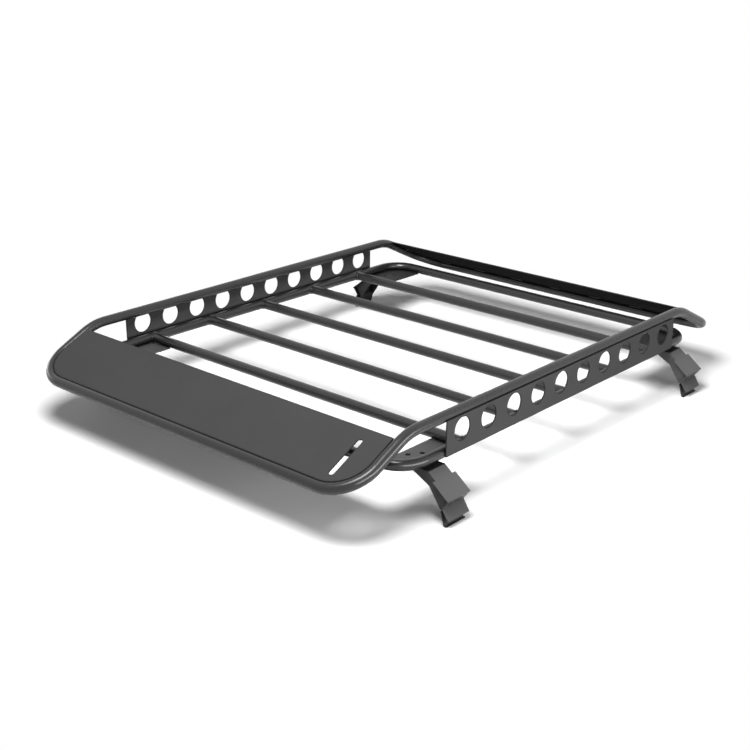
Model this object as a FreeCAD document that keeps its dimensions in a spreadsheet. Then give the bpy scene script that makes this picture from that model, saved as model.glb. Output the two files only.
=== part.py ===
import FreeCAD, Part
import Sketcher
import math
import os

# Roof rack with rain-gutter feet, in millimetres and degrees.
# X runs forward, Y to the left, Z up. The toes of the feet stand on Z = 0 and the
# origin is under the middle of the whole rack. Stations along X are given from the
# middle crossbar; "mid_shift" moves them so that the whole rack is centred. Sizes of
# a foot marked "out" are measured outwards from the centre of the side tube.

driving = {
    # Tubes
    "tube_dia": 25,         # outer diameter of every tube
    "rail_y": 512.5,        # half distance between the side tube centres
    "lower_z": 130,         # height of the lower frame centre
    "rail_rise": 80,        # upper rail centre above the lower frame centre
    "bend_r": 144,          # centre-line radius of the rail bends
    "slope": 25.8,          # fall of the two ends of the upper loop
    "front_run": 162,       # front bend end to the front tube centre, along the slope
    "rear_run": 185,        # rear bend end to the rear tube centre, along the slope
    "hoop_r": 88,           # centre-line corner radius of the upper loop, in the slope
    "front_bend_x": 552,    # where the rail starts to bend, ahead of the middle bar
    "rear_bend_x": 498,     # where the rail starts to bend, behind the middle bar
    "low_front_x": 597,     # front tube of the lower frame, ahead of the middle bar
    "low_rear_x": 585,      # rear tube of the lower frame, behind the middle bar
    "low_r": 68,            # centre-line corner radius of the lower frame
    "bar_pitch": 200,       # spacing of the crossbars
    "bar_count": 5,         # crossbars
    "weld_bite": 0.2,       # how far a coped end reaches into the tube it is welded to
    "tip_gap": 2,           # coped tips stop this short of the side tube centre
    "seat_gap": 0.2,        # clearance of a sheet edge that is set against another piece
    # Side plates
    "side_len": 950,        # length of a side plate
    "side_t": 3,            # thickness of a side plate
    "side_low": 6.1,        # lower edge under the lower frame centre
    "side_top": 4,          # upper edge under the rail centre
    "hole_dia": 53.4,       # round holes
    "hole_edge": 53.125,    # centre of the end hole from the end of the plate
    "hole_count": 10,       # holes in a side plate
    "hole_rise": 43.5,      # hole centres above the lower frame centre
    # Sloped panels
    "panel_t": 2.5,         # thickness of the front and rear panels
    "panel_sink": 2.5,      # panel top under the top of the tubes
    "front_lap": 3.5,       # front panel edge past the bend end, up the slope
    "rear_lap": 12,         # rear panel edge past the bend end, up the slope
    "slot_w": 13,           # width of the slot in the front panel
    "slot_start": 27,       # upper end of the slot from the bend end
    "slot_len": 104,        # length of the slot over its round ends
    "slot_y": 440,          # slot to the left of the middle
    # Corner plates
    "corner_t": 3,          # thickness of a corner plate
    "front_corner_w": 77.5, # straight edge of a front one inside the side tube centre
    "rear_corner_w": 100,   # straight edge of a rear one inside the side tube centre
    "bolt_dia": 12.5,       # bolt holes
    "bolt_a_x": 8.5,        # first bolt hole, outwards from the foot middle
    "bolt_a_in": 59,        # first bolt hole inside the side tube centre
    "bolt_b_x": 18,         # second bolt hole, towards the middle from the foot middle
    "bolt_b_in": 41.5,      # second bolt hole inside the side tube centre
    # Legs: face and two cheeks, with a cross strip and a stepped ledge under the corner plate
    "foot_x": 502,          # feet ahead of and behind the middle bar
    "leg_w": 76,            # width of the face
    "leg_t": 3,             # sheet thickness
    "leg_r": 2,             # outer radius of the folds between face and cheeks
    "leg_in": 74,           # inner end of the cross strip inside the side tube centre
    "strip_w": 19,          # width of the cross strip
    "leg_out": 9,           # outer end of the cheek tops inside the side tube centre
    "face_v": 13.5,         # upper edge of the face, out
    "face_drop": 7.7,       # upper edge of the face under the leg top
    "face_len": 76.8,       # length of the face
    "face_tilt": 37.6,      # face under the horizontal
    "neck_len": 24,         # length of the narrow upper part of the face
    "shoulder": 9.75,       # step from the narrow part, flush with the cheeks, to the full width
    "knee_v": 15.7,         # knee of the cheeks' inner edge, out
    "knee_drop": 36.2,      # knee under the cross strip
    "knee_r": 14,           # radius at the knee
    "thigh_tilt": 26.8,     # cheeks' inner edge above the knee, under the horizontal
    "shin_tilt": 54.9,      # cheeks' inner edge below the knee, under the horizontal
    # Clamps: a return under the cheeks, and a jaw
    "clamp_t": 3,           # sheet thickness
    "return_len": 26,       # return, square to the face
    "jaw_len": 30.3,        # length of the jaw
    "jaw_tilt": 57,         # jaw under the horizontal
    "jaw_step": 2.5,        # jaw edge inside the face edge, each side
    # Toes: a flange on the return, a shin behind the jaw and a lip on the gutter
    "toe_t": 2.5,           # sheet thickness
    "toe_gap": 1,           # clearance to the cheeks, each side
    "toe_lap": 4,           # flange end from the face
    "toe_len": 27,          # length of the flange
    "toe_neck": 4,          # shin as narrow as the flange, below the fold
    "lip_step": 3,          # edge of shin and lip inside the jaw edge, each side
    "toe_tilt": 72.5,       # shin under the horizontal
    "toe_v": 67.5,          # outer edge of the lip, out
    "fold_r": 1.5,          # inner radius of the folds of clamps and toes
}

derived = {
    "tube_r": "tube_dia / 2",
    "rail_z": "lower_z + rail_rise",
    "bend_dx": "bend_r * sin(slope)",
    "bend_dz": "bend_r * (1 - cos(slope))",
    "front_straight": "front_run - hoop_r",
    "rear_straight": "rear_run - hoop_r",
    "front_dz": "bend_dz + front_straight * sin(slope)",
    "rear_dz": "bend_dz + rear_straight * sin(slope)",
    "front_slope_x": "front_bend_x + bend_dx",
    "rear_slope_x": "rear_bend_x + bend_dx",
    "front_hoop_x": "front_slope_x + front_straight * cos(slope)",
    "rear_hoop_x": "rear_slope_x + rear_straight * cos(slope)",
    "front_reach": "front_slope_x + front_run * cos(slope) + tube_r",
    "rear_reach": "rear_slope_x + rear_run * cos(slope) + tube_r",
    "mid_shift": "(rear_reach - front_reach) / 2",
    "hoop_y": "rail_y - hoop_r",
    "low_front_c": "low_front_x - low_r",
    "low_rear_c": "low_rear_x - low_r",
    "low_y": "rail_y - low_r",
    "low_len": "low_front_c + low_rear_c",
    "bar_len": "2 * (rail_y - tip_gap)",
    "bar_x0": "(bar_count - 1) / 2 * bar_pitch",
    "cope_r": "tube_r - weld_bite",
    "side_half": "side_len / 2",
    "side_in": "rail_y + tube_r",
    "side_out": "side_in + side_t",
    "side_z0": "lower_z - side_low",
    "side_z1": "rail_z - side_top",
    "hole_z": "lower_z + hole_rise",
    "hole_r": "hole_dia / 2",
    "hole_run": "side_len - 2 * hole_edge",
    "hole_x0": "hole_run / 2",
    "panel_low": "tube_r - panel_sink - panel_t",
    "panel_inset": "sqrt(tube_r * tube_r - panel_low * panel_low) + seat_gap",
    "panel_y": "rail_y - panel_inset",
    "panel_r": "hoop_r - panel_inset",
    "panel_cy": "panel_y - panel_r",
    "front_end_u": "front_run - panel_inset",
    "front_turn_u": "front_end_u - panel_r",
    "rear_end_u": "rear_run - panel_inset",
    "rear_turn_u": "rear_end_u - panel_r",
    "slot_r": "slot_w / 2",
    "slot_u0": "slot_start + slot_r",
    "slot_u1": "slot_start + slot_len - slot_r",
    "slot_ya": "slot_y - slot_r",
    "slot_yb": "slot_y + slot_r",
    "corner_drop": "tube_r - corner_t",
    "corner_inset": "sqrt(tube_r * tube_r - corner_drop * corner_drop) + seat_gap",
    "corner_x0": "bar_x0 + corner_inset",
    "front_corner_y": "rail_y - front_corner_w",
    "rear_corner_y": "rail_y - rear_corner_w",
    "corner_y1": "rail_y - corner_inset",
    "corner_r": "low_r - corner_inset",
    "corner_yc": "corner_y1 - corner_r",
    "corner_fx": "low_front_x - corner_inset",
    "corner_fc": "corner_fx - corner_r",
    "corner_rx": "low_rear_x - corner_inset",
    "corner_rc": "corner_rx - corner_r",
    "corner_z": "lower_z - tube_r",
    "bolt_r": "bolt_dia / 2",
    "bolt_ax": "foot_x + bolt_a_x",
    "bolt_ay": "rail_y - bolt_a_in",
    "bolt_bx": "foot_x - bolt_b_x",
    "bolt_by": "rail_y - bolt_b_in",
    "leg_z1": "corner_z",
    "leg_z0": "leg_z1 - leg_t",
    "neck_w": "leg_w - 2 * shoulder",
    "neck_half": "neck_w / 2",
    "leg_gap": "neck_w - 2 * leg_t",
    "jaw_w": "leg_w - 2 * jaw_step",
    "toe_w": "leg_gap - 2 * toe_gap",
    "lip_w": "jaw_w - 2 * lip_step",
    "strip_v": "leg_in - strip_w",
    "ledge_in": "leg_out + leg_t",
    "face_z": "leg_z1 - face_drop",
    "blade_len": "face_len - neck_len",
    "square_tilt": "90 + face_tilt",
    "level_tilt": "0 * face_tilt",
}

doc = FreeCAD.newDocument("roof_rack")
sheet = doc.addObject("Spreadsheet::Sheet", "sizes")
rows = []


def size(alias, text):
    """One row of the sheet, a driving number or a formula."""
    rows.append(alias)
    sheet.set("A%d" % len(rows), alias)
    sheet.set("B%d" % len(rows), text)
    sheet.setAlias("B%d" % len(rows), alias)


def fold(name, start, legs, thick):
    """Rows for the section of a bent sheet; gives its front points and its back points.

    'legs' lists (length, tilt) names. The back lies a thickness behind the front, with
    mitred corners.
    """
    front, back = [], []
    v, z = start
    for i in range(len(legs) + 1):
        if i:
            length, tilt = legs[i - 1]
            v, z = "%s + %s * cos(%s)" % (v, length, tilt), "%s - %s * sin(%s)" % (z, length, tilt)
        p = "%s_v%d" % (name, i), "%s_z%d" % (name, i)
        size(p[0], "=" + v)
        size(p[1], "=" + z)
        v, z = p
        one = legs[max(i - 1, 0)][1]
        two = legs[min(i, len(legs) - 1)][1]
        share = "%s / (1 + cos(%s - %s))" % (thick, one, two)
        q = "%s_bv%d" % (name, i), "%s_bz%d" % (name, i)
        size(q[0], "=%s - (sin(%s) + sin(%s)) * %s" % (v, one, two, share))
        size(q[1], "=%s - (cos(%s) + cos(%s)) * %s" % (z, one, two, share))
        front.append(p)
        back.append(q)
    return front, back


for alias, number in driving.items():
    size(alias, str(number))
for alias, formula in derived.items():
    size(alias, "=" + formula)

# Sections of the feet
face, face_back = fold("face", ("face_v", "face_z"), [("neck_len", "face_tilt"), ("blade_len", "face_tilt")],
                       "leg_t")
size("return_run", "=return_len - leg_t")
clamp, clamp_back = fold("clamp", face_back[2], [("return_run", "square_tilt"), ("jaw_len", "jaw_tilt")],
                         "clamp_t")
size("flange_v", "=clamp_bv0 + toe_lap * cos(square_tilt)")
size("flange_z", "=clamp_bz0 - toe_lap * sin(square_tilt)")
size("shin_v", "=flange_v + toe_len * cos(square_tilt)")
size("shin_z", "=flange_z - toe_len * sin(square_tilt)")
size("toe_drop", "=(shin_z - toe_t) / sin(toe_tilt)")
size("shin_len", "=toe_drop - toe_neck")
size("lip_len", "=toe_v - shin_v - toe_drop * cos(toe_tilt)")
toe, toe_back = fold("toe", ("flange_v", "flange_z"), [("toe_len", "square_tilt"), ("toe_neck", "toe_tilt"),
                                                       ("shin_len", "toe_tilt"), ("lip_len", "level_tilt")],
                     "toe_t")
size("knee_z", "=leg_z0 - knee_drop")
size("shin_over", "=(clamp_bv0 - knee_v) * cos(face_tilt) - (clamp_bz0 - knee_z) * sin(face_tilt)")
size("shin_run", "=shin_over / cos(shin_tilt - face_tilt)")
size("ankle_v", "=knee_v + shin_run * cos(shin_tilt)")
size("ankle_z", "=knee_z - shin_run * sin(shin_tilt)")
size("knee_cut", "=knee_r * tan((shin_tilt - thigh_tilt) / 2)")
size("knee_va", "=knee_v + knee_cut * cos(shin_tilt)")
size("knee_za", "=knee_z - knee_cut * sin(shin_tilt)")
size("knee_vb", "=knee_v - knee_cut * cos(thigh_tilt)")
size("knee_zb", "=knee_z + knee_cut * sin(thigh_tilt)")
size("hip_v", "=knee_v - knee_drop / tan(thigh_tilt)")
size("room_in", "=leg_in + leg_t")
size("room_z", "=leg_z1 + leg_t")
size("room_va", "=face_bv0 + face_bz0 / tan(face_tilt)")
size("ledge_z", "=face_z0 - leg_t")
size("ledge_v", "=face_bv0 - (ledge_z - face_bz0) / tan(face_tilt)")
size("toe_r", "=fold_r + toe_t")
size("clamp_r", "=fold_r + clamp_t")
doc.recompute()


def val(name):
    """Value of a sheet name, or of a name with a leading minus."""
    if name == "0":
        return 0.0
    if name.startswith("-"):
        return -float(sheet.get(name[1:]))
    return float(sheet.get(name))


def ref(name):
    """The same name as an expression."""
    if name.startswith("-"):
        return "-sizes." + name[1:]
    return "sizes." + name


def flip(sign, name):
    """Name with its sign turned where sign is negative."""
    if sign > 0 or name == "0":
        return name
    if name.startswith("-"):
        return name[1:]
    return "-" + name


def new_body(label, base, angle=None):
    """A body placed by sheet expressions; angle turns it about Y."""
    body = doc.addObject("PartDesign::Body", label)
    body.Label = label
    turn = FreeCAD.Rotation(FreeCAD.Vector(0, 1, 0), val(angle) if angle else 0)
    body.Placement = FreeCAD.Placement(FreeCAD.Vector(0, 0, 0), turn)
    for axis, terms in zip("xyz", base):
        if terms:
            body.setExpression("Placement.Base." + axis, " + ".join(ref(t) for t in terms))
    if angle:
        body.setExpression("Placement.Rotation.Angle", ref(angle))
    return body


def new_sketch(body, role, lift=None):
    """A sketch on one of the body's own origin planes."""
    sketch = body.newObject("Sketcher::SketchObject", body.Name + "_sketch")
    plane = [f for f in body.Origin.OriginFeatures if f.Role == role][0]
    sketch.AttachmentSupport = [(plane, "")]
    sketch.MapMode = "FlatFace"
    if lift:
        sketch.setExpression("AttachmentOffset.Base.z", ref(lift))
    return sketch


def bind(sketch, constraint, name):
    """Add a constraint whose value follows a sheet name."""
    index = sketch.addConstraint(constraint)
    sketch.setExpression("Constraints[%d]" % index, ref(name))


def pin(sketch, geo, pos, x, y):
    """Hold a point of the sketch at two sheet sizes from the origin."""
    for kind, name in (("X", x), ("Y", y)):
        if name == "0":
            axis = -2 if kind == "X" else -1
            sketch.addConstraint(Sketcher.Constraint("PointOnObject", geo, pos, axis))
        else:
            bind(sketch, Sketcher.Constraint("Distance" + kind, -1, 1, geo, pos, val(name)), name)


def arc_through(p, q, radius, left):
    """Arc of a known radius from p to q; 'left' turns counter-clockwise."""
    mid = (p + q) * 0.5
    half = (q - p).Length / 2
    normal = FreeCAD.Vector(-(q - p).y, (q - p).x, 0).normalize()
    rise = math.sqrt(max(radius * radius - half * half, 0))
    centre = mid + normal * (rise if left else -rise)
    way = (mid - centre).normalize() if rise > 1e-9 else normal * (-1 if left else 1)
    return Part.Arc(p, centre + way * radius, q), centre


def chain(sketch, points, closed):
    """Lines and arcs through pinned points.

    Each point is (x, y) or (x, y, radius, left): the last two make the piece that
    leaves the point an arc.
    """
    count = len(points)
    spots = [FreeCAD.Vector(val(p[0]), val(p[1]), 0) for p in points]
    pieces = count if closed else count - 1
    joints = []
    for i in range(pieces):
        p, q = spots[i], spots[(i + 1) % count]
        if len(points[i]) == 4:
            curve, centre = arc_through(p, q, val(points[i][2]), points[i][3])
            geo = sketch.addGeometry(curve, False)
            first, last = (1, 2) if points[i][3] else (2, 1)
            if abs((q - p).Length - 2 * val(points[i][2])) < 1e-6:
                # half circle: its ends give the radius, so its centre is held instead
                bind(sketch, Sketcher.Constraint("DistanceX", -1, 1, geo, 3, centre.x), points[i][0])
            else:
                bind(sketch, Sketcher.Constraint("Radius", geo, val(points[i][2])), points[i][2])
        else:
            geo = sketch.addGeometry(Part.LineSegment(p, q), False)
            first, last = 1, 2
        joints.append((geo, first, last))
    for i in range(pieces):
        geo, first, last = joints[i]
        pin(sketch, geo, first, points[i][0], points[i][1])
        if i + 1 < pieces:
            after = joints[i + 1]
            sketch.addConstraint(Sketcher.Constraint("Coincident", geo, last, after[0], after[1]))
        elif closed:
            sketch.addConstraint(Sketcher.Constraint("Coincident", geo, last, joints[0][0], joints[0][1]))
        else:
            pin(sketch, geo, last, points[-1][0], points[-1][1])


def ring(sketch, x, y, radius):
    """A circle pinned by its centre."""
    spot = FreeCAD.Vector(val(x), val(y), 0)
    geo = sketch.addGeometry(Part.Circle(spot, FreeCAD.Vector(0, 0, 1), val(radius)), False)
    bind(sketch, Sketcher.Constraint("Radius", geo, val(radius)), radius)
    if x == "0" and y == "0":
        sketch.addConstraint(Sketcher.Constraint("Coincident", geo, 3, -1, 1))
    else:
        pin(sketch, geo, 3, x, y)


def pad(body, sketch, length, midplane=False):
    feature = body.newObject("PartDesign::Pad", body.Name + "_pad")
    feature.Profile = sketch
    feature.setExpression("Length", ref(length))
    feature.Midplane = midplane
    return feature


def pocket(body, sketch, length=None):
    """A cut on both sides of the sketch, through all or of a given width."""
    feature = body.newObject("PartDesign::Pocket", body.Name + "_pocket")
    feature.Profile = sketch
    feature.Midplane = True
    if length:
        feature.setExpression("Length", ref(length))
    else:
        feature.Type = "ThroughAll"
    return feature


def bent_tube(label, base, role, points, angle=None):
    """A tube swept along a flat path of lines and arcs."""
    body = new_body(label, base, angle)
    spine = new_sketch(body, role)
    chain(spine, points, False)
    doc.recompute()
    profile = body.newObject("Sketcher::SketchObject", label + "_profile")
    profile.AttachmentSupport = [(spine, "Edge1")]
    profile.MapMode = "NormalToEdge"
    profile.MapPathParameter = 0
    ring(profile, "0", "0", "tube_r")
    doc.recompute()
    pipe = body.newObject("PartDesign::AdditivePipe", label + "_pipe")
    pipe.Profile = profile
    pipe.Spine = (spine, ["Edge%d" % (i + 1) for i in range(len(points) - 1)])
    return body


def side_section(sy, points):
    """Points of a foot section for the left or the right side of the rack."""
    turned = []
    for p in points:
        spot = (flip(sy, p[0]), p[1])
        turned.append(spot + (p[2], p[3] == (sy > 0)) if len(p) == 4 else spot)
    return turned


def section_pad(body, sy, points, width):
    """Sheet of a foot: its section, extruded along the rack."""
    sketch = new_sketch(body, "YZ_Plane")
    chain(sketch, side_section(sy, points), True)
    doc.recompute()
    pad(body, sketch, width, True)


def round_folds(body, ends, radius):
    """Fillet the edges that run between two (x, y, z) spots; None stands for any value."""
    doc.recompute()
    base = body.Tip

    def fits(vertex, spot):
        return all(want is None or abs(want - got) < 1e-4 for want, got in zip(spot, vertex.Point))

    names = []
    for number, edge in enumerate(base.Shape.Edges, 1):
        if len(edge.Vertexes) == 2:
            p, q = edge.Vertexes
            if any(fits(p, a) and fits(q, b) or fits(p, b) and fits(q, a) for a, b in ends):
                names.append("Edge%d" % number)
    feature = body.newObject("PartDesign::Fillet", body.Name + "_folds")
    feature.Base = (base, names)
    feature.setExpression("Radius", ref(radius))


def round_bends(body, sy, inner, outer, outer_r):
    """Fillet the inner and outer edges of a bent sheet's folds, which run along the rack."""
    for points, radius in ((inner, "fold_r"), (outer, outer_r)):
        spots = [(None, val(flip(sy, p[0])), val(p[1])) for p in points]
        round_folds(body, [(p, p) for p in spots], radius)


bodies = []
sides = (("left", 1), ("right", -1))
ends = (("front", 1), ("rear", -1))

# Upper loop: two rails and two hoops in the slopes
for side, s in sides:
    path = [("-rear_hoop_x", "-rear_dz"), ("-rear_slope_x", "-bend_dz", "bend_r", False),
            ("-rear_bend_x", "0"), ("front_bend_x", "0", "bend_r", False),
            ("front_slope_x", "-bend_dz"), ("front_hoop_x", "-front_dz")]
    start = (["mid_shift"], [flip(s, "rail_y")], ["rail_z"])
    bodies.append(bent_tube("rail_" + side, start, "XZ_Plane", path))
for end, s in ends:
    path = [("0", "rail_y", "hoop_r", s < 0), (flip(s, "hoop_r"), "hoop_y"),
            (flip(s, "hoop_r"), "-hoop_y", "hoop_r", s < 0), ("0", "-rail_y")]
    start = (["mid_shift", flip(s, end + "_hoop_x")], [], ["rail_z", "-%s_dz" % end])
    bodies.append(bent_tube("hoop_" + end, start, "XY_Plane", path, flip(s, "slope")))

# Lower frame: two side tubes and two hoops
for side, s in sides:
    body = new_body("base_" + side, (["mid_shift", "-low_rear_c"], [flip(s, "rail_y")], ["lower_z"]))
    sketch = new_sketch(body, "YZ_Plane")
    ring(sketch, "0", "0", "tube_r")
    pad(body, sketch, "low_len")
    bodies.append(body)
for end, s in ends:
    start, far = flip(s, "low_%s_c" % end), flip(s, "low_%s_x" % end)
    path = [(start, "rail_y", "low_r", s < 0), (far, "low_y"),
            (far, "-low_y", "low_r", s < 0), (start, "-rail_y")]
    bodies.append(bent_tube("base_" + end, (["mid_shift"], [], ["lower_z"]), "XY_Plane", path))

# Crossbars with coped ends, the first at the front
for number in range(driving["bar_count"]):
    body = new_body("crossbar_%d" % (number + 1), ([], [], ["lower_z"]))
    body.setExpression("Placement.Base.x", "sizes.mid_shift + sizes.bar_x0 - %d * sizes.bar_pitch" % number)
    sketch = new_sketch(body, "XZ_Plane")
    ring(sketch, "0", "0", "tube_r")
    pad(body, sketch, "bar_len", True)
    cope = new_sketch(body, "YZ_Plane")
    ring(cope, "rail_y", "0", "cope_r")
    ring(cope, "-rail_y", "0", "cope_r")
    doc.recompute()
    pocket(body, cope)
    bodies.append(body)

# Side plates with a row of round holes
for side, s in sides:
    body = new_body("side_plate_" + side, (["mid_shift"], ["side_out" if s > 0 else "-side_in"], []))
    sketch = new_sketch(body, "XZ_Plane")
    chain(sketch, [("-side_half", "side_z0"), ("side_half", "side_z0"), ("side_half", "side_z1"),
                   ("-side_half", "side_z1")], True)
    pad(body, sketch, "side_t")
    hole = new_sketch(body, "XZ_Plane")
    ring(hole, "-hole_x0", "hole_z", "hole_r")
    doc.recompute()
    cut = pocket(body, hole)
    doc.recompute()
    row = body.newObject("PartDesign::LinearPattern", body.Name + "_row")
    row.Originals = [cut]
    row.Direction = (hole, ["H_Axis"])
    row.setExpression("Length", "sizes.hole_run")
    row.setExpression("Occurrences", "sizes.hole_count")
    body.Tip = row
    bodies.append(body)

# Panels on the two slopes; the front one has a slot on the left
for end, s in ends:
    start = (["mid_shift", flip(s, end + "_slope_x")], [], ["rail_z", "-bend_dz"])
    body = new_body("panel_" + end, start, flip(s, "slope"))
    sketch = new_sketch(body, "XY_Plane", "panel_low")
    edge, turn, far = flip(-s, end + "_lap"), flip(s, end + "_turn_u"), flip(s, end + "_end_u")
    chain(sketch, [(edge, "-panel_y"), (turn, "-panel_y", "panel_r", s > 0), (far, "-panel_cy"),
                   (far, "panel_cy", "panel_r", s > 0), (turn, "panel_y"), (edge, "panel_y")], True)
    pad(body, sketch, "panel_t")
    if s > 0:
        slot = new_sketch(body, "XY_Plane")
        chain(slot, [("slot_u0", "slot_ya"), ("slot_u1", "slot_ya", "slot_r", True), ("slot_u1", "slot_yb"),
                     ("slot_u0", "slot_yb", "slot_r", True)], True)
        doc.recompute()
        pocket(body, slot)
    bodies.append(body)

# Corner plates, legs, clamps and toes of the four feet
for end, sx in ends:
    far, turn_at = flip(sx, "corner_%sx" % end[0]), flip(sx, "corner_%sc" % end[0])
    near = flip(sx, "corner_x0")
    for side, sy in sides:
        tag = end[0] + side[0]
        inner, outer = flip(sy, end + "_corner_y"), flip(sy, "corner_y1")
        plate = new_body("corner_plate_" + tag, (["mid_shift"], [], ["corner_z"]))
        sketch = new_sketch(plate, "XY_Plane")
        chain(sketch, [(near, inner), (far, inner), (far, flip(sy, "corner_yc"), "corner_r", sx * sy > 0),
                       (turn_at, outer), (near, outer)], True)
        pad(plate, sketch, "corner_t")
        holes = new_sketch(plate, "XY_Plane")
        ring(holes, flip(sx, "bolt_ax"), flip(sy, "bolt_ay"), "bolt_r")
        ring(holes, flip(sx, "bolt_bx"), flip(sy, "bolt_by"), "bolt_r")
        doc.recompute()
        pocket(plate, holes)
        bodies.append(plate)

        foot = (["mid_shift", flip(sx, "foot_x")], [flip(sy, "rail_y")], [])
        leg = new_body("foot_leg_" + tag, foot)
        section_pad(leg, sy, [("-leg_in", "leg_z1"), ("-leg_in", "leg_z0"), ("hip_v", "leg_z0"),
                              ("knee_vb", "knee_zb", "knee_r", False), ("knee_va", "knee_za"),
                              ("ankle_v", "ankle_z"), clamp_back[0], face_back[2], face[2], face[0],
                              ("-leg_out", "face_z0"), ("-leg_out", "leg_z1")], "neck_w")
        room = new_sketch(leg, "YZ_Plane")
        chain(room, side_section(sy, [("-strip_v", "room_z"), ("-strip_v", "leg_z0"), ("-room_in", "leg_z0"),
                                      ("-room_in", "0"), ("room_va", "0"), ("ledge_v", "ledge_z"),
                                      ("-ledge_in", "ledge_z"), ("-ledge_in", "room_z")]), True)
        doc.recompute()
        pocket(leg, room, "leg_gap")
        hole = new_sketch(leg, "XY_Plane", "leg_z0")
        ring(hole, flip(sx, "bolt_a_x"), flip(sy, "-bolt_a_in"), "bolt_r")
        doc.recompute()
        pocket(leg, hole)
        top, foot_end = [(val(flip(sy, p[0])), val(p[1])) for p in (face[0], face[2])]
        widths = (val("neck_half"), -val("neck_half"))
        round_folds(leg, [((x,) + top, (x,) + foot_end) for x in widths], "leg_r")
        section_pad(leg, sy, [face[1], face[2], face_back[2], face_back[1]], "leg_w")
        bodies.append(leg)

        grip = new_body("foot_clamp_" + tag, foot)
        section_pad(grip, sy, clamp + clamp_back[::-1], "jaw_w")
        round_bends(grip, sy, (clamp[1],), (clamp_back[1],), "clamp_r")
        bodies.append(grip)

        rest = new_body("foot_toe_" + tag, foot)
        section_pad(rest, sy, toe[:3] + toe_back[2::-1], "toe_w")
        section_pad(rest, sy, toe[2:] + toe_back[:1:-1], "lip_w")
        round_bends(rest, sy, toe[1::2], toe_back[1::2], "toe_r")
        bodies.append(rest)

doc.recompute()
for thing in doc.Objects:
    if "Invalid" in thing.State or "Error" in thing.State:
        raise RuntimeError("failed: %s %s" % (thing.Name, thing.State))
os.makedirs("parts", exist_ok=True)
for body in bodies:
    shape = body.Shape
    if shape.isNull() or not shape.isValid() or len(shape.Solids) != 1:
        raise RuntimeError("not one sound solid: " + body.Label)
    shape.exportStep("parts/" + body.Label + ".step")
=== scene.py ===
import math

import bmesh
import bpy
from mathutils import Matrix, Vector


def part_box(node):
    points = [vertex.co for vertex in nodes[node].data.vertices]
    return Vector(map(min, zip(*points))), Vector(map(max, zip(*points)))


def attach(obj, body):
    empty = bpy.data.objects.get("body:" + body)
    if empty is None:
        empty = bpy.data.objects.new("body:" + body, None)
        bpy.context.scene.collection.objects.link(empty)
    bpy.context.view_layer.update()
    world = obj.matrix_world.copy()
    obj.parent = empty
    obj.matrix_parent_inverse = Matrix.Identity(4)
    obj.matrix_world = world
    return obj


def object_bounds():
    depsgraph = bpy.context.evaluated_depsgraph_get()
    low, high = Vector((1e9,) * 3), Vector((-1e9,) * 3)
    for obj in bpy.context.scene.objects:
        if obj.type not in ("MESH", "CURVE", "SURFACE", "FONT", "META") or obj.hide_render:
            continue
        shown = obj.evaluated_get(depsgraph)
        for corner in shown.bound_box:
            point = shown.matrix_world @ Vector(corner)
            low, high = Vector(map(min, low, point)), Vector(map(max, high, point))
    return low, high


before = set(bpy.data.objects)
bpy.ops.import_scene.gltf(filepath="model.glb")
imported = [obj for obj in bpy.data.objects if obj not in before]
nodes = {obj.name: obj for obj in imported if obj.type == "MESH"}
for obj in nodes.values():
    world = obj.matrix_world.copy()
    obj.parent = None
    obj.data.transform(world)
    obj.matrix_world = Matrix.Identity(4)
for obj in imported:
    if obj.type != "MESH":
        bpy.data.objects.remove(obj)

# Looks of the roof rack: powder-coat materials with painted shade on the CAD nodes, weld beads,
# near-black strips of painted shade in the panel grooves and bolts as pieces of their own, and a
# white studio. Metres, in the frame of the CAD model.

cad_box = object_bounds()
bar_count = 5
sign = {"front": 1, "rear": -1, "left": 1, "right": -1}


def middle(node):
    """Centre of a CAD node's box."""
    low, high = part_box(node)
    return (low + high) / 2


# Sizes read from the frame
mid_bar = middle("crossbar_3")
lower_z = mid_bar.z
tube_r = (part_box("crossbar_3")[1].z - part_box("crossbar_3")[0].z) / 2
rail_y = middle("base_left").y
rail_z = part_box("rail_left")[1].z - tube_r
bar_xs = [middle("crossbar_%d" % (n + 1)).x for n in range(bar_count)]

# The four corners: the letters that end a node's name, the end and the side
corners = [(end[0] + side[0], end, side) for end in ("front", "rear") for side in ("left", "right")]

# Shapes that the boxes don't give: the slope, bend and length of the end loops, the bend of
# the lower frame, and of a foot the tilt of its clamp from upright, half its width over the
# cheeks, how far out the clamp's return starts and the thickness of clamp and toe
slope = math.radians(25.8)
hoop_r = 0.088
slope_run = {"front": 0.162, "rear": 0.185}
low_r = 0.068
face_tilt = math.radians(37.6)
cheek_half = 0.02825
return_v = 0.0701
clamp_t = 0.003
toe_t = 0.0025


# Materials

# Sockets of a Mix node for colours
mix_share, mix_a, mix_b, mix_out = 0, 6, 7, 2

# Most of a noise lies between these
noise_low, noise_high = 0.3, 0.7


def grey(level):
    """A plain grey as a colour."""
    return (level, level, level, 1)


def link_chain(tree, *steps):
    """Join (node, output, node, input) steps."""
    for a, out, b, into in steps:
        tree.links.new(a.outputs[out], b.inputs[into])


def node(tree, kind, **values):
    """A node with its properties and input sockets set; sockets are given by name."""
    made = tree.nodes.new(kind)
    for key, value in values.items():
        if key in made.inputs:
            made.inputs[key].default_value = value
        else:
            setattr(made, key, value)
    return made


def ranged(tree, low, high, into=(0.0, 1.0)):
    """A Map Range node that turns 'low' to 'high' into another range."""
    made = tree.nodes.new("ShaderNodeMapRange")
    made.inputs["From Min"].default_value = low
    made.inputs["From Max"].default_value = high
    made.inputs["To Min"].default_value = into[0]
    made.inputs["To Max"].default_value = into[1]
    return made


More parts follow.
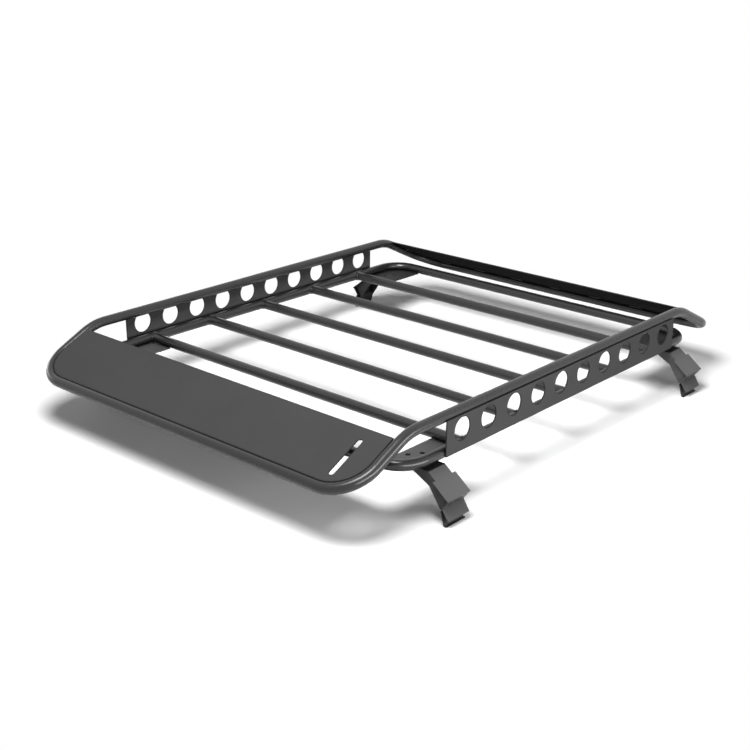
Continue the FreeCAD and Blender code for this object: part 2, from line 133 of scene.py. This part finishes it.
def noise(tree, scale, detail, roughness=0.5):
    """Noise in a piece's own coordinates."""
    place = node(tree, "ShaderNodeTexCoord")
    made = node(tree, "ShaderNodeTexNoise", Scale=scale, Detail=detail, Roughness=roughness)
    tree.links.new(place.outputs["Object"], made.inputs["Vector"])
    return made


def mixed(tree, a=grey(0), b=grey(0)):
    """A Mix node between two colours; a link takes the place of its colour."""
    made = node(tree, "ShaderNodeMix", data_type="RGBA")
    made.inputs[mix_a].default_value = a
    made.inputs[mix_b].default_value = b
    return made


def new_material(name):
    """A material with its node tree and its shader."""
    made = bpy.data.materials.new(name)
    made.use_nodes = True
    return made, made.node_tree, made.node_tree.nodes["Principled BSDF"]


def edge_mask(tree, rounded, shape, speck):
    """Up to 1 on edges, in patches: where the rounded normal leaves the flat one."""
    on_face, on_edge = 0.995, 0.86
    fleck_low, fleck_high, faintest = 0.35, 0.6, 0.35
    facing = node(tree, "ShaderNodeVectorMath", operation="DOT_PRODUCT")
    edge_share = ranged(tree, on_face, on_edge)
    flecks = ranged(tree, fleck_low, fleck_high, (faintest, 1.0))
    mask = node(tree, "ShaderNodeMath", operation="MULTIPLY")
    link_chain(tree, (rounded, "Normal", facing, 0), (shape, "Normal", facing, 1),
               (facing, "Value", edge_share, "Value"), (edge_share, "Result", mask, 0),
               (speck, "Fac", flecks, "Value"), (flecks, "Result", mask, 1))
    return mask


def shade_paint_share(tree, shape, crevice, under):
    """Painted shade: 1 on open faces, less in crevices and on undersides, where shade falls."""
    closed, open_air = 0.45, 0.92
    facing_down, upright = -0.6, -0.1
    hollow = node(tree, "ShaderNodeAmbientOcclusion", samples=6, Distance=crevice)
    airy = ranged(tree, closed, open_air)
    normal = node(tree, "ShaderNodeSeparateXYZ")
    upward = ranged(tree, facing_down, upright, (under, 1.0))
    share = node(tree, "ShaderNodeMath", operation="MULTIPLY")
    link_chain(tree, (hollow, "AO", airy, "Value"), (airy, "Result", share, 0),
               (shape, "Normal", normal, "Vector"), (normal, "Z", upward, "Value"),
               (upward, "Result", share, 1))
    return share


def powder_coat(name, tone, rough, specular, grain=1.0, edge=0.0008, edge_gain=2.2, crevice=0.009,
                under=0.65):
    """Satin black powder coat.

    Fine orange peel, cloudy tone and gloss, painted shade in crevices and on undersides, and
    edges where the coat is worn thin or, with 'edge_gain' below 1, painted dark as shade.
    'tone' is the linear grey, 'grain' how strong the peel and the change of gloss are, 'edge'
    the radius that edges are rounded to, 'edge_gain' how much lighter (wear) or darker (painted
    shade) they are, 'crevice' the width of a gap that gets painted shade, and 'under' the share
    of the tone that undersides keep under the painted shade.
    """
    made, tree, shader = new_material(name)
    made.diffuse_color = grey(tone)
    cloud = noise(tree, scale=9.0, detail=4.0, roughness=0.55)
    speck = noise(tree, scale=420.0, detail=2.0, roughness=0.6)
    peel = noise(tree, scale=1100.0, detail=2.0)
    rounded = node(tree, "ShaderNodeBevel", samples=4, Radius=edge)
    shape = node(tree, "ShaderNodeNewGeometry")

    # Colour: cloudy grey with painted shade darkening crevices and undersides, and the edges picked out,
    # lighter as wear where edge_gain is above 1 and darker as painted shade where it is below 1
    shade = mixed(tree, (tone * 0.9, tone * 0.9, tone * 0.91, 1), grey(tone * 1.1))
    shaded = mixed(tree, a=grey(tone * 0.1))
    lifted = mixed(tree, b=grey(tone * edge_gain))
    unshaded = shade_paint_share(tree, shape, crevice, under)
    edges = edge_mask(tree, rounded, shape, speck)
    link_chain(tree, (cloud, "Fac", shade, mix_share), (shade, mix_out, shaded, mix_b),
               (unshaded, "Value", shaded, mix_share), (shaded, mix_out, lifted, mix_a),
               (edges, "Value", lifted, mix_share), (lifted, mix_out, shader, "Base Color"))

    # Gloss varies with the specks
    gloss = ranged(tree, noise_low, noise_high, (rough - 0.05 * grain, rough + 0.06 * grain))
    link_chain(tree, (speck, "Fac", gloss, "Value"), (gloss, "Result", shader, "Roughness"))
    shader.inputs["Specular IOR Level"].default_value = specular

    # Orange peel over the rounded normal
    skin = node(tree, "ShaderNodeBump", Strength=0.10 * grain, Distance=0.0004)
    link_chain(tree, (peel, "Fac", skin, "Height"), (rounded, "Normal", skin, "Normal"),
               (skin, "Normal", shader, "Normal"))
    return made


def black_zinc(name):
    """Fasteners: dark plated steel with fine stains."""
    made, tree, shader = new_material(name)
    stain = noise(tree, scale=260.0, detail=3.0)
    shade = mixed(tree, (0.012, 0.012, 0.013, 1), (0.024, 0.024, 0.026, 1))
    gloss = ranged(tree, noise_low, noise_high, (0.42, 0.56))
    link_chain(tree, (stain, "Fac", shade, mix_share), (shade, mix_out, shader, "Base Color"),
               (stain, "Fac", gloss, "Value"), (gloss, "Result", shader, "Roughness"))
    shader.inputs["Metallic"].default_value = 0.4
    return made


def groove_shade_strip(name):
    """Near-black strip in the grooves beside the panels: painted shade where the groove is shaded."""
    made, tree, shader = new_material(name)
    lumps = noise(tree, scale=150.0, detail=3.0)
    shade = mixed(tree, grey(0.004), grey(0.010))
    gloss = ranged(tree, noise_low, noise_high, (0.55, 0.75))
    skin = node(tree, "ShaderNodeBump", Strength=0.25, Distance=0.0005)
    link_chain(tree, (lumps, "Fac", shade, mix_share), (shade, mix_out, shader, "Base Color"),
               (lumps, "Fac", gloss, "Value"), (gloss, "Result", shader, "Roughness"),
               (lumps, "Fac", skin, "Height"), (skin, "Normal", shader, "Normal"))
    shader.inputs["Specular IOR Level"].default_value = 0.15
    return made


# Painted shade: every coat darkens its crevices and, through 'under', its undersides
tube_coat = powder_coat("tube_powder_coat", tone=0.015, rough=0.28, specular=0.5, grain=0.2)
# Sheet coat: edge_gain below 1 paints the plate edges and hole rims dark, as painted shade
sheet_coat = powder_coat("sheet_powder_coat", tone=0.072, rough=0.6, specular=0.0, edge=0.0022,
                         edge_gain=0.1, under=1.0)
corner_coat = powder_coat("corner_powder_coat", tone=0.063, rough=0.46, specular=0.25, crevice=0.012)
# Rear corner plates: the corner coat painted much darker, as painted shadow
rear_corner_shadow_coat = powder_coat("rear_corner_painted_shadow_coat", tone=0.026, rough=0.5, specular=0.15,
                               crevice=0.02)
leg_coat = powder_coat("leg_powder_coat", tone=0.07, rough=0.46, specular=0.28, edge_gain=1.6,
                       crevice=0.03)
clamp_coat = powder_coat("clamp_powder_coat", tone=0.064, rough=0.5, specular=0.15, edge_gain=1.6,
                         crevice=0.04)
weld_coat = powder_coat("weld_powder_coat", tone=0.018, rough=0.3, specular=0.5, grain=0.6,
                        edge=0.0003)
fastener_finish = black_zinc("black_zinc")
# Near-black strip for the panel grooves: painted shade
groove_shade_finish = groove_shade_strip("groove_shade_strip")

# Coats by the start of a node's name; the first that fits counts
finishes = (("side_plate", sheet_coat), ("panel", sheet_coat), ("corner_plate_r", rear_corner_shadow_coat),
            ("corner_plate", corner_coat), ("foot_leg", leg_coat), ("foot", clamp_coat), ("", tube_coat))
for name, piece in nodes.items():
    finish = next(coat for start, coat in finishes if name.startswith(start))
    piece.data.materials.clear()
    piece.data.materials.append(finish)


# Pieces

def add_piece(name, mesh, finish):
    """Put a finished bmesh into the scene as a piece of the rack."""
    data = bpy.data.meshes.new(name)
    mesh.to_mesh(data)
    mesh.free()
    for face in data.polygons:
        face.use_smooth = True
    data.materials.append(finish)
    piece = bpy.data.objects.new(name, data)
    bpy.context.scene.collection.objects.link(piece)
    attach(piece, "root")


# Beads: length of a ripple, distance between rings, corners of a ring, and for the rounded
# ends their share of the bead and the least square of the taper
ripple_pitch = 0.0022
bead_step = 0.0008
bead_ring = 10
end_share = 1 / 8
end_least = 0.02


def sweep_bead(mesh, path, radius, closed=False, ripple=0.09):
    """Add a weld bead with ripples, or a smooth one, along a list of points to a bmesh."""
    count = len(path)
    rings = []
    run = 0.0
    for i, spot in enumerate(path):
        before = path[i - 1] if closed or i else spot
        after = path[(i + 1) % count] if closed or i + 1 < count else spot
        along = (after - before).normalized()
        if i:
            run += (spot - path[i - 1]).length
        side = along.orthogonal().normalized()
        across = along.cross(side)
        wave = 1 + ripple * math.cos(2 * math.pi * run / ripple_pitch)
        if not closed:
            # rounded ends
            share = min(i, count - 1 - i) / (count - 1)
            wave *= math.sqrt(max(end_least, 1 - (1 - min(1.0, share / end_share)) ** 2))
        ring = []
        for k in range(bead_ring):
            turn = 2 * math.pi * k / bead_ring
            spoke = math.cos(turn) * side + math.sin(turn) * across
            ring.append(mesh.verts.new(spot + radius * wave * spoke))
        rings.append(ring)
    pairs = count if closed else count - 1
    for i in range(pairs):
        one, two = rings[i], rings[(i + 1) % count]
        # the rings of a closed bead may start at different turns, so the nearest corner is used
        offset = min(range(bead_ring), key=lambda k: (one[0].co - two[k].co).length)
        for k in range(bead_ring):
            a, b = one[k], one[(k + 1) % bead_ring]
            c, d = two[(k + 1 + offset) % bead_ring], two[(k + offset) % bead_ring]
            mesh.faces.new((a, b, c, d))
    if not closed:
        mesh.faces.new(list(reversed(rings[0])))
        mesh.faces.new(rings[-1])


def line_points(start, end, fewest=8):
    """Points along a straight bead."""
    count = max(fewest, int((end - start).length / bead_step))
    return [start.lerp(end, i / count) for i in range(count + 1)]


def crossbar_welds():
    """A bead round each coped crossbar end."""
    bead_r = 0.0019
    proud = 1.02
    count = 96
    for number, x in enumerate(bar_xs, 1):
        mesh = bmesh.new()
        for s in (1, -1):
            path = []
            for i in range(count):
                turn = 2 * math.pi * i / count
                dx, dz = tube_r * math.cos(turn), tube_r * math.sin(turn)
                reach = math.sqrt(max(tube_r ** 2 - dz ** 2, 0.0))
                path.append(Vector((x + dx * proud, s * (rail_y - reach * proud), lower_z + dz * proud)))
            sweep_bead(mesh, path, bead_r, True)
        add_piece("weld_crossbar_%d" % number, mesh, weld_coat)


def side_plate_welds():
    """Stitches in the grooves between the side plates and the tubes, on the inside."""
    bead_r = 0.0021
    stitch, stitches = 0.042, 6
    below, set_in = 0.0082, 0.0004
    for side in ("left", "right"):
        s = sign[side]
        low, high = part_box("side_plate_" + side)
        gap = tube_r - math.sqrt(tube_r ** 2 - below ** 2)
        groove = s * (rail_y + tube_r) - s * (gap / 2 + set_in)
        mesh = bmesh.new()
        for i in range(stitches):
            x = low.x + (high.x - low.x) * (i + 0.5) / stitches
            for z in (rail_z - below, lower_z + below):
                sweep_bead(mesh, line_points(Vector((x - stitch / 2, groove, z)),
                                             Vector((x + stitch / 2, groove, z))), bead_r)
        add_piece("weld_side_plate_" + side, mesh, weld_coat)


def slope_path(end, inset, height, step=bead_step):
    """Points round the inside of an end loop, from the left bend to the right one.

    'inset' is the distance inside the tube centre and 'height' the distance above it,
    both in the slope.
    """
    s = sign[end]
    low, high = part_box("hoop_" + end)
    tip = high.x - tube_r if s > 0 else low.x + tube_r
    down = Vector((s * math.cos(slope), 0, -math.sin(slope)))
    out = Vector((s * math.sin(slope), 0, math.cos(slope)))
    turn_y = rail_y - hoop_r
    turn_r = hoop_r - inset
    outline = [(slope_run[end], rail_y - inset), (hoop_r, rail_y - inset)]
    steps = 48
    for i in range(1, steps):
        turn = math.pi / 2 * i / steps
        outline.append((hoop_r - turn_r * math.sin(turn), turn_y + turn_r * math.cos(turn)))
    outline.append((inset, turn_y))
    outline += [(back, -y) for back, y in reversed(outline)]
    corner = Vector((tip, 0, low.z + tube_r)) + out * height
    spots = [corner - down * back + Vector((0, y, 0)) for back, y in outline]
    path = []
    for a, b in zip(spots, spots[1:]):
        count = max(1, int((b - a).length / step))
        path += [a.lerp(b, i / count) for i in range(count)]
    return path


def panel_seams():
    """A near-black strip of painted shade in the groove between each panel and its tube, and stitch
    welds below the panel.
    """
    seam_r = 0.0029
    seam_inset, seam_height, seam_step = 0.0096, 0.0080, 0.004
    bead_r = 0.0019
    bead_inset, bead_height = 0.0120, 0.0064
    stitch, pitch = 0.04, 0.14
    for end in ("front", "rear"):
        mesh = bmesh.new()
        sweep_bead(mesh, slope_path(end, seam_inset, seam_height, seam_step), seam_r, ripple=0.0)
        add_piece("seam_" + end, mesh, groove_shade_finish)
        mesh = bmesh.new()
        path = slope_path(end, bead_inset, bead_height)
        gap = (path[1] - path[0]).length
        per_stitch, per_pitch = int(stitch / gap), int(pitch / gap)
        first = (len(path) % per_pitch + per_pitch - per_stitch) // 2
        for i in range(first, len(path) - per_stitch, per_pitch):
            sweep_bead(mesh, path[i:i + per_stitch], bead_r)
        add_piece("weld_panel_" + end, mesh, weld_coat)


def corner_welds():
    """Under each corner plate: one bead each along the crossbar, the side tube and the bend."""
    bead_r = 0.0019
    inset, drop = 0.0069, 0.0112
    bar_from, bar_to = 0.008, 0.045
    tube_from, cheek_gap = 0.02, 0.008
    arc_from, arc_sweep, count = 12, 66, 100
    for tag, end, side in corners:
        sx, sy = sign[end], sign[side]
        bar_x = bar_xs[0 if sx > 0 else -1]
        tube_x = middle("base_" + end).x
        foot_x = middle("foot_clamp_" + tag).x
        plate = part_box("corner_plate_" + tag)
        plate_y = min(abs(plate[0].y), abs(plate[1].y))
        z = lower_z - drop
        mesh = bmesh.new()
        x = bar_x + sx * inset
        sweep_bead(mesh, line_points(Vector((x, sy * (plate_y + bar_from), z)),
                                     Vector((x, sy * (plate_y + bar_to), z))), bead_r)
        y = sy * (rail_y - inset)
        sweep_bead(mesh, line_points(Vector((bar_x + sx * tube_from, y, z)),
                                     Vector((foot_x - sx * (cheek_half + cheek_gap), y, z))), bead_r)
        centre = Vector((tube_x - sx * low_r, sy * (rail_y - low_r), z))
        arc = []
        for i in range(count + 1):
            turn = math.radians(arc_from + arc_sweep * i / count)
            arc.append(centre + (low_r - inset) * Vector((sx * math.cos(turn), sy * math.sin(turn), 0)))
        sweep_bead(mesh, arc, bead_r)
        add_piece("weld_corner_" + tag, mesh, weld_coat)


def foot_welds():
    """Beads along the cheek tops, under the corner plates."""
    bead_r = 0.0017
    inner, outer = 0.05, 0.016
    for tag, _, side in corners:
        sy = sign[side]
        foot_x = middle("foot_clamp_" + tag).x
        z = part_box("corner_plate_" + tag)[0].z - bead_r / 2
        mesh = bmesh.new()
        for s in (1, -1):
            x = foot_x + s * (cheek_half + bead_r / 2)
            sweep_bead(mesh, line_points(Vector((x, sy * (rail_y - inner), z)),
                                         Vector((x, sy * (rail_y - outer), z))), bead_r)
        add_piece("weld_foot_" + tag, mesh, weld_coat)


def turned(mesh, spot, axis, profile, across=None, facets=48):
    """Turn (radius, height) pairs about an axis and close the last ring.

    With 'across', the radii are cut to a hexagon that wide over its flats.
    """
    side = axis.orthogonal().normalized()
    other = axis.cross(side)
    flat = math.pi / 3
    rings = []
    for radius, height in profile:
        ring = []
        for k in range(facets):
            turn = 2 * math.pi * k / facets
            reach = radius
            if across:
                off = (turn + flat / 2) % flat - flat / 2
                reach = min(radius, across / 2 / math.cos(off))
            spoke = math.cos(turn) * side + math.sin(turn) * other
            ring.append(mesh.verts.new(spot + axis * height + reach * spoke))
        rings.append(ring)
    for one, two in zip(rings, rings[1:]):
        for k in range(facets):
            mesh.faces.new((one[k], one[(k + 1) % facets], two[(k + 1) % facets], two[k]))
    mesh.faces.new(rings[-1])


def clamp_bolts():
    """Two M8 bolts a foot hold the toe to the clamp: low round heads outside, nuts inside."""
    bolt_r, bolt_gap, across_flats = 0.004, 0.014, 0.013
    down_return = 0.0125
    head_r, washer_r = 0.0078, 0.008
    nut_r, nut_face_r, nut_bevel = 0.0076, 0.0061, 0.0008
    washer_top, nut_top = 0.0016, 0.0081
    # Outlines as (radius, height) pairs
    head = [(head_r, 0), (head_r, 0.0003), (0.0072, 0.0008), (0.0048, 0.0013), (0.002, 0.0015)]
    washer = [(washer_r, 0), (washer_r, 0.0013), (0.0077, washer_top), (bolt_r, washer_top)]
    nut = [(nut_face_r, washer_top), (nut_r, washer_top + nut_bevel), (nut_r, nut_top - nut_bevel),
           (nut_face_r, nut_top), (bolt_r, nut_top)]
    pitch, turns, end_z = 0.00125, 3, nut_top + 0.0002
    root_r, tip_r = bolt_r * 0.86, bolt_r * 0.8
    thread = []
    for i in range(turns):
        thread += [(root_r, end_z + i * pitch), (bolt_r, end_z + (i + 0.5) * pitch)]
    thread.append((tip_r, end_z + turns * pitch))
    for tag, _, side in corners:
        sy = sign[side]
        along = Vector((0, -sy * math.sin(face_tilt), -math.cos(face_tilt)))
        outward = Vector((0, sy * math.cos(face_tilt), -math.sin(face_tilt)))
        top = Vector((middle("foot_clamp_" + tag).x, sy * (rail_y + return_v),
                      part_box("foot_clamp_" + tag)[1].z))
        mesh = bmesh.new()
        for s in (1, -1):
            spot = top + along * down_return + Vector((s * bolt_gap, 0, 0))
            turned(mesh, spot + outward * clamp_t, outward, head)
            inside = spot - outward * toe_t
            turned(mesh, inside, -outward, washer)
            turned(mesh, inside, -outward, nut, across_flats)
            turned(mesh, inside, -outward, thread)
        add_piece("clamp_bolts_" + tag, mesh, fastener_finish)


crossbar_welds()
side_plate_welds()
panel_seams()
corner_welds()
foot_welds()
clamp_bolts()


# Studio

def studio_rays(tree):
    """1 for the rays that see the white studio: those of the camera, of gloss and through glass."""
    path = node(tree, "ShaderNodeLightPath")
    gloss = node(tree, "ShaderNodeMath", operation="MAXIMUM")
    seen = node(tree, "ShaderNodeMath", operation="MAXIMUM")
    link_chain(tree, (path, "Is Camera Ray", gloss, 0), (path, "Is Glossy Ray", gloss, 1),
               (gloss, "Value", seen, 0), (path, "Is Transmission Ray", seen, 1))
    return seen


def studio_floor():
    """White floor; far from the rack it turns into plain background white.

    The light that it throws back on the rack is that of a grey floor.
    """
    half_width, drop = 40, 0.0002
    shadow_half = (1.05, 0.82, 1.0)
    white_from, white_to = 0.9, 1.4
    made, tree, shader = new_material("studio_white")
    tree.nodes.remove(shader)
    paper = node(tree, "ShaderNodeBsdfDiffuse", Color=grey(0.97))
    dull = node(tree, "ShaderNodeBsdfDiffuse", Color=grey(0.15))
    glow = node(tree, "ShaderNodeEmission", Color=grey(1), Strength=1.0)
    place = node(tree, "ShaderNodeTexCoord")
    # Distance from the middle as a rounded box round the shadow, squared
    spread = node(tree, "ShaderNodeMapping", vector_type="TEXTURE", Scale=shadow_half)
    square = node(tree, "ShaderNodeVectorMath", operation="MULTIPLY")
    reach = node(tree, "ShaderNodeVectorMath", operation="LENGTH")
    away = ranged(tree, white_from, white_to)
    seen = studio_rays(tree)
    near = node(tree, "ShaderNodeMixShader")
    shown = node(tree, "ShaderNodeMixShader")
    link_chain(tree, (place, "Object", spread, "Vector"), (spread, "Vector", square, 0),
               (spread, "Vector", square, 1), (square, "Vector", reach, 0),
               (reach, "Value", away, "Value"), (away, "Result", near, 0),
               (paper, "BSDF", near, 1), (glow, "Emission", near, 2),
               (seen, "Value", shown, 0), (dull, "BSDF", shown, 1), (near, "Shader", shown, 2))
    tree.links.new(shown.outputs["Shader"], tree.nodes["Material Output"].inputs["Surface"])
    mesh = bmesh.new()
    bmesh.ops.create_grid(mesh, x_segments=8, y_segments=8, size=half_width)
    data = bpy.data.meshes.new("floor")
    mesh.to_mesh(data)
    mesh.free()
    data.materials.append(made)
    floor = bpy.data.objects.new("floor", data)
    floor.location.z = cad_box[0].z - drop
    bpy.context.scene.collection.objects.link(floor)


def studio_world():
    """White background, with a lower even light on the rack."""
    world = bpy.data.worlds.new("studio")
    bpy.context.scene.world = world
    world.use_nodes = True
    tree = world.node_tree
    tree.nodes.clear()
    fill = node(tree, "ShaderNodeBackground", Color=grey(1), Strength=0.07)
    white = node(tree, "ShaderNodeBackground", Color=grey(1), Strength=1.0)
    seen = studio_rays(tree)
    mix = node(tree, "ShaderNodeMixShader")
    out = node(tree, "ShaderNodeOutputWorld")
    link_chain(tree, (seen, "Value", mix, 0), (fill, "Background", mix, 1),
               (white, "Background", mix, 2), (mix, "Shader", out, "Surface"))


def add_light(name, energy, spot, aim, **values):
    """An area lamp at 'spot' that shines at 'aim'."""
    data = bpy.data.lights.new(name, "AREA")
    data.energy = energy
    for key, value in values.items():
        setattr(data, key, value)
    lamp = bpy.data.objects.new(name, data)
    lamp.location = spot
    lamp.rotation_mode = "QUATERNION"
    lamp.rotation_quaternion = (Vector(aim) - Vector(spot)).to_track_quat("-Z", "Y")
    bpy.context.scene.collection.objects.link(lamp)
    return data


def even_falloff(data, strength):
    """Light that keeps its strength with distance, as from a large far source."""
    data.use_nodes = True
    tree = data.node_tree
    fade = node(tree, "ShaderNodeLightFalloff", Strength=strength)
    tree.links.new(fade.outputs["Constant"], tree.nodes["Emission"].inputs["Strength"])


def studio_camera():
    """The photograph's camera: turn, height, roll, distance and lens from a fit to the photograph."""
    azimuth, elevation, roll = (math.radians(x) for x in (131.0486, 20.5276, 0.6732))
    distance = 2.98762
    aim = mid_bar + Vector((0.30154, 0.17693, 0.0415))
    back = Vector((math.sin(azimuth) * math.cos(elevation), -math.cos(azimuth) * math.cos(elevation),
                   math.sin(elevation)))
    level = (-back).cross(Vector((0, 0, 1))).normalized()
    upward = level.cross(-back)
    right = level * math.cos(roll) + upward * math.sin(roll)
    up = upward * math.cos(roll) - level * math.sin(roll)
    data = bpy.data.cameras.new("photo_camera")
    data.lens = 61.185
    data.sensor_width = 36
    data.clip_start = 0.05
    data.clip_end = 200
    camera = bpy.data.objects.new("photo_camera", data)
    turn = Matrix((right, up, back)).transposed().to_4x4()
    camera.matrix_world = Matrix.Translation(aim + back * distance) @ turn
    bpy.context.scene.collection.objects.link(camera)
    bpy.context.scene.camera = camera


studio_floor()
studio_world()
# The key lamp hangs over the front; long low fills light the two sides
key = add_light("key", energy=1.0, spot=(1.1, 0.45, 1.95), aim=(-1.2, -0.3, 0.0),
                shape="DISK", size=1.1)
even_falloff(key, strength=14.2)
strip = {"shape": "RECTANGLE", "size": 2.3, "size_y": 0.4}
add_light("left_fill", energy=31.0, spot=(0.4, 1.85, 0.4), aim=(0.2, 0.5, 0.15), **strip)
add_light("right_fill", energy=10.0, spot=(0.0, -1.85, 0.4), aim=(0.0, -0.5, 0.15), **strip)
studio_camera()
bpy.context.scene.view_settings.view_transform = "Standard"
